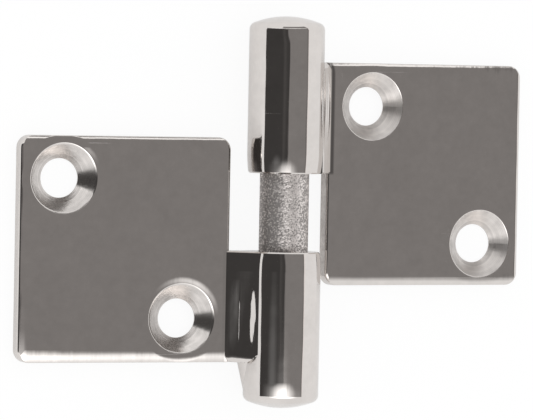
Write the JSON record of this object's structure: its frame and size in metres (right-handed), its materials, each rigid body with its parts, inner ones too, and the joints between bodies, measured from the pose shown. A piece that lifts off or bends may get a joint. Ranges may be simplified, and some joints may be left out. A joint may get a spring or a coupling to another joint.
{
  "type": "separating hinge",
  "caption": "Cast lift-off hinge with flat countersunk leaves on a plain pin, shown part way apart. The upper leaf swings and lifts off the pin.",
  "frame": {"origin": "on the surface that the hinge lies on, under the pin's line, midway along the stretch of pin that shows between the knuckles", "axes": "+X across both leaves towards the upper leaf, +Y along the pin towards the way that the upper leaf lifts off, +Z out of the leaves' countersunk faces"},
  "size_m": [0.0858, 0.061, 0.0118],
  "materials": {
    "polished_casting": "mirror-polished cast stainless steel",
    "dull_pin": "dull, mottled, blasted stainless steel"
  },
  "bodies": {
    "lower": {"lower_leaf": "polished_casting"},
    "pin": {"hinge_pin": "dull_pin"},
    "upper": {"upper_leaf": "polished_casting"}
  },
  "joints": [
    {"name": "leaf_swing", "type": "hinge", "parent": "lower", "child": "pin", "pos_m": [0, 0, 0.0059], "axis": [0, -1, 0], "range_deg": [-120, 185.12]},
    {"name": "leaf_lift_off", "type": "slide", "parent": "pin", "child": "upper", "axis": [0, 1, 0], "range_m": [-0.01215, 0.012]}
  ]
}
